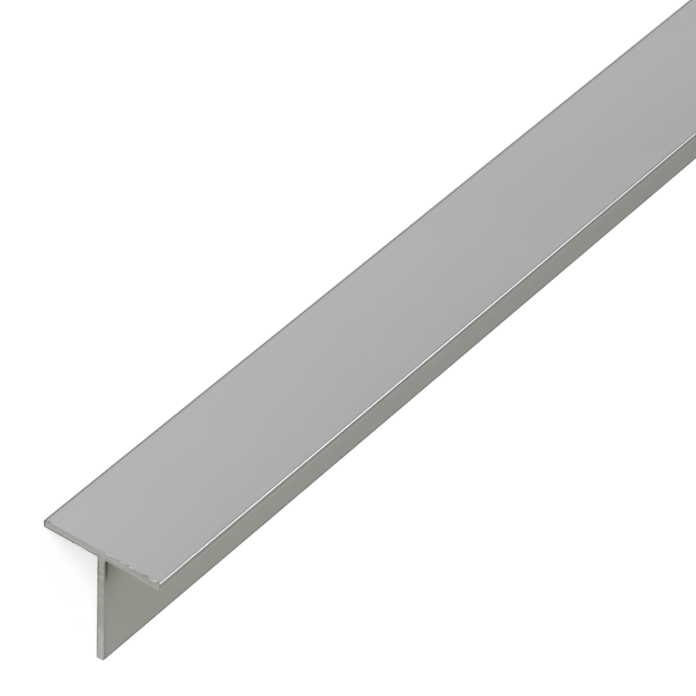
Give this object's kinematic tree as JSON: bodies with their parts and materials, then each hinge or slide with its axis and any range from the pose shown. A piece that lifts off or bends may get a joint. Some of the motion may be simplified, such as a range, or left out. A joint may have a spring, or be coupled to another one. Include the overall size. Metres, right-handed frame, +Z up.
{
  "type": "t-profile",
  "caption": "Length of aluminium T-section stock: a thin flat flange with an equally thin web square to its middle, satin anodised, sawn square at both ends.",
  "frame": {"origin": "on the floor, under the middle of the stock's length and of the width that it covers as it lies", "axes": "+Y along the length, +Z up from the floor, +X towards the tip of the web. The section leans by 63.43 degrees about Y, so that one tip of the flange and the tip of the web lie on the floor, with the flange's outer face up and to -X"},
  "size_m": [0.0264, 1, 0.0215],
  "materials": {
    "anodised_aluminium": "satin"
  },
  "bodies": {
    "root": {"t_profile": "anodised_aluminium"}
  },
  "joints": []
}
